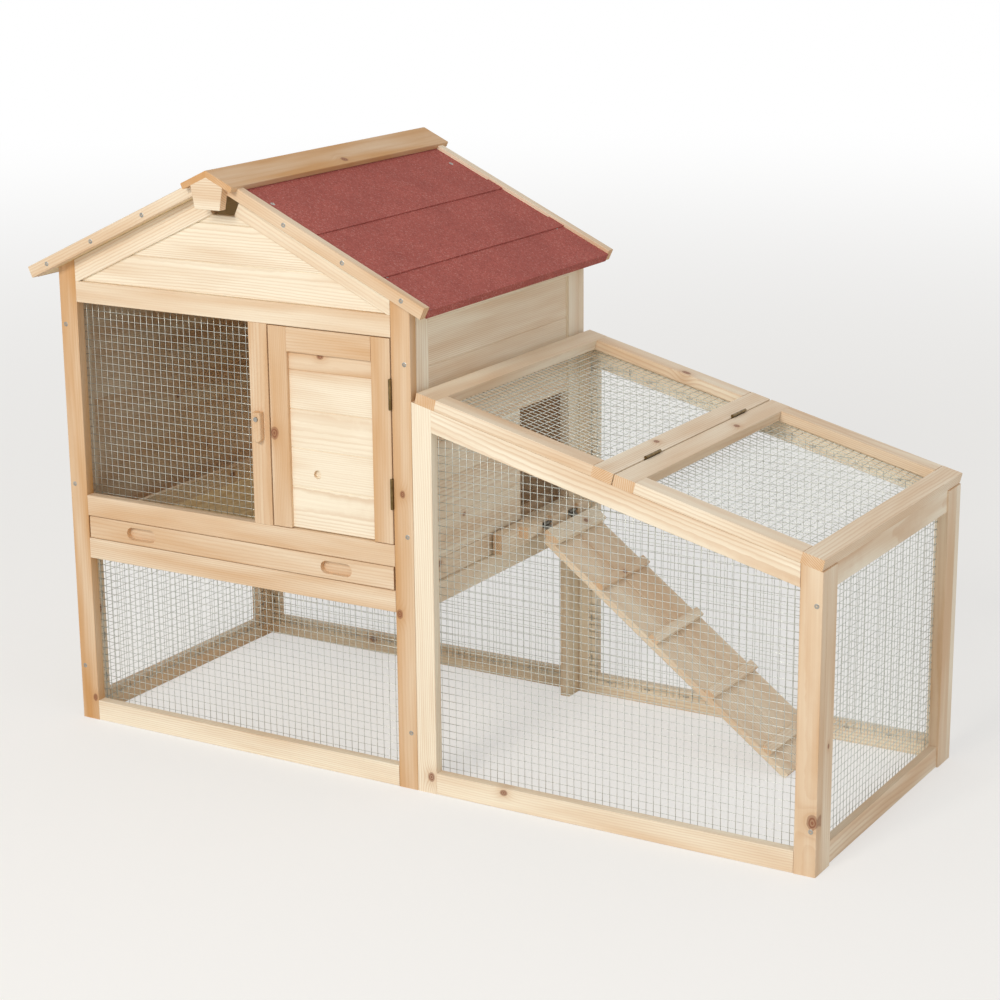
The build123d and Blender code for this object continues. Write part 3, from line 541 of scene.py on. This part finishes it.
def staple(bm, at, along, side, out):
    """A flat-wire staple over one wire: a crown with two legs that go into the lath."""
    half, reach, wide, thin = 5 * MM, 5 * MM, 0.6 * MM, 0.35 * MM
    crown = out * (WIRE_R + thin)
    path = [-along * half - out * reach, -along * half + crown, along * half + crown, along * half - out * reach]
    rings = []
    for i, point in enumerate(path):
        outward = along if i > 1 else -along
        normal = (out + outward).normalized() if i in (1, 2) else outward
        rings.append([
            bm.verts.new(at + point + side * a * wide + normal * b * thin)
            for a, b in ((-1, -1), (1, -1), (1, 1), (-1, 1))
        ])
    for a, b in zip(rings, rings[1:]):
        for k in range(4):
            bm.faces.new((a[k], a[(k + 1) % 4], b[(k + 1) % 4], b[k]))
    bm.faces.new(rings[0][::-1])
    bm.faces.new(rings[-1])


# Screws and nails
SCREW_HEAD_R = 4 * MM
HEAD_SIDES = 24
# The head's outline from the rim inwards: share of its radius, and height in millimetres
HEAD_PROFILE = [(1.0, -0.3), (1.0, 0.12), (0.9, 0.3), (0.62, 0.42)]


def screw_head(bm, at, out):
    """A countersunk head with a cross recess, its rim level with the wood."""
    turn = out.to_track_quat("Z", "Y").to_matrix()
    round_dirs = [(cos(k * tau / HEAD_SIDES), sin(k * tau / HEAD_SIDES)) for k in range(HEAD_SIDES)]
    # Four arms of three points each reach out to half the radius, and the rest stays near the middle.
    arms = [0.5 if k % 6 in (0, 1, 5) else 0.2 for k in range(HEAD_SIDES)]
    levels = [([r] * HEAD_SIDES, z) for r, z in HEAD_PROFILE]
    levels += [(arms, 0.45), ([arm * 0.7 for arm in arms], -1.2)]
    rings = [
        [
            bm.verts.new(at + turn @ Vector((x * r * SCREW_HEAD_R, y * r * SCREW_HEAD_R, z * MM)))
            for (x, y), r in zip(round_dirs, reach)
        ]
        for reach, z in levels
    ]
    for a, b in zip(rings, rings[1:]):
        for k in range(HEAD_SIDES):
            bm.faces.new((a[k], a[(k + 1) % HEAD_SIDES], b[(k + 1) % HEAD_SIDES], b[k]))
    bm.faces.new(rings[-1])


def screws(name, places):
    bm = bmesh.new()
    for at, out in places:
        screw_head(bm, at, out)
    add_piece(name, bm, sheet_zinc, "house")


def place_screws():
    """Panel screws near the stiles' outer edges, barge screws, and the felt nails."""
    panel, verge, felt = [], [], []
    for side in (-1, 1):
        out = Vector((0, side, 0))
        y = -FRONT * side
        for x in (HOUSE_LEFT + 10 * MM, HOUSE_RIGHT - 11 * MM):
            panel += [(Vector((x, y, z)), out) for z in (0.097, 0.427, 0.706)]
        panel += [(Vector((RUN_RIGHT - 9 * MM, y, z)), out) for z in (0.072, 0.4225)]
        barge_y = -(FRONT - 26 * MM) * side
        for offset in (-0.352, -0.255, -0.145, 0.136, 0.245, 0.352):
            z = ROOF_APEX_Z - abs(offset) * tan(ROOF_SLOPE) + 11 * MM
            verge.append((Vector((HOUSE_MIDDLE + offset, barge_y, z)), out))
    top = Vector((HOUSE_MIDDLE, 0, ROOF_APEX_Z))
    for slope, sign in ((ROOF_RIGHT, 1), (ROOF_LEFT, -1)):
        for down in (94 * MM, 327 * MM):
            for y in (-0.270, 0.266):
                felt.append((top + slope[0] * sign * down + slope[1] * y + slope[2] * 14 * MM, slope[2]))
    screws("panel_screws", panel)
    screws("verge_screws", verge)
    screws("felt_nails", felt)


# Floor and light
def seen_ray(tree):
    """1 for what the camera, a reflection or a clear surface sees, 0 for what lights the hutch."""
    rays = add(tree, "ShaderNodeLightPath").outputs
    seen = add(
        tree, "ShaderNodeMath", {0: rays["Is Camera Ray"], 1: rays["Is Glossy Ray"]}, operation="ADD",
    ).outputs[0]
    return add(
        tree, "ShaderNodeMath", {0: seen, 1: rays["Is Transmission Ray"]}, operation="ADD", use_clamp=True,
    ).outputs[0]


def set_floor():
    """A plain pale studio floor that takes the shadow and turns white far away, where it meets the room."""
    bm = bmesh.new()
    bmesh.ops.create_grid(bm, x_segments=1, y_segments=1, size=40)
    mesh = bpy.data.meshes.new("studio_floor")
    bm.to_mesh(mesh)
    bm.free()
    floor = bpy.data.objects.new("studio_floor", mesh)
    bpy.context.collection.objects.link(floor)
    material, tree, shader = start_material("studio_paper", 0.9)
    shader.inputs["Base Color"].default_value = linear("#F1EFEA")
    glow = add(tree, "ShaderNodeEmission", {"Color": (1, 1, 1, 1), "Strength": 1.0}).outputs[0]
    place = add(tree, "ShaderNodeNewGeometry").outputs["Position"]
    away = add(tree, "ShaderNodeVectorMath", {0: place}, operation="LENGTH").outputs["Value"]
    white = add(
        tree, "ShaderNodeMapRange",
        {"Value": away, "From Min": 1.5, "From Max": 9.0, "To Min": 0.5, "To Max": 1.0},
        interpolation_type="SMOOTHSTEP",
    ).outputs[0]
    share = add(tree, "ShaderNodeMath", {0: seen_ray(tree), 1: white}, operation="MULTIPLY").outputs[0]
    paper = add(tree, "ShaderNodeMixShader", {0: share, 1: shader.outputs[0], 2: glow}).outputs[0]
    tree.links.new(paper, tree.nodes["Material Output"].inputs["Surface"])
    mesh.materials.append(material)


def lamp(name, at, size, power, colour):
    """A soft box that looks at the middle of the hutch."""
    data = bpy.data.lights.new(name, "AREA")
    data.size = size
    data.energy = power
    data.color = linear(colour)[:3]
    made = bpy.data.objects.new(name, data)
    at = Vector(at)
    aim = (at - Vector((0, 0, 0.4))).to_track_quat("Z", "Y")
    made.matrix_world = Matrix.Translation(at) @ aim.to_matrix().to_4x4()
    bpy.context.collection.objects.link(made)


def set_light():
    """A large key light from the front, a weak fill from the right, and an even pale room."""
    lamp("key_light", (0.1, -5.5, 3.5), 1.5, 172, "#FFF8EE")
    lamp("fill_light", (5.0, -1.5, 2.5), 3.0, 24, "#F6F8FF")
    world = bpy.data.worlds.new("studio")
    bpy.context.scene.world = world
    world.use_nodes = True
    tree = world.node_tree
    tree.nodes.clear()
    room = add(tree, "ShaderNodeBackground", {"Color": linear("#FAF8F6"), "Strength": 0.58}).outputs[0]
    white = add(tree, "ShaderNodeBackground", {"Color": (1, 1, 1, 1), "Strength": 1.0}).outputs[0]
    mix = add(tree, "ShaderNodeMixShader", {0: seen_ray(tree), 1: room, 2: white}).outputs[0]
    add(tree, "ShaderNodeOutputWorld", {"Surface": mix})
    bpy.context.scene.view_settings.view_transform = "Standard"


# Kept CAD nodes and their finishes
FINISHES = {
    "roof_deck_left": plywood, "roof_deck_right": plywood, "tray_bottom": plywood,
    "roof_felt_left": red_felt, "roof_felt_right": red_felt,
    "door_hinge_fixed_leaves": dull_brass, "door_hinge_moving_leaves": dull_brass, "door_hinge_pins": dull_brass,
    "lid_hinge_fixed_leaves": dull_brass, "lid_hinge_moving_leaves": dull_brass, "lid_hinge_pins": dull_brass,
    "ramp_hook_pins": dull_zinc, "ramp_hooks": dull_zinc, "turn_button_screw": sheet_zinc,
}

set_camera()
for timber in TIMBER:
    wood_piece(timber)
for net in NETS:
    wire_net(net)
place_screws()
for kept, finish in FINISHES.items():
    for slot in frame["nodes"][kept].material_slots:
        slot.material = finish
set_floor()
set_light()
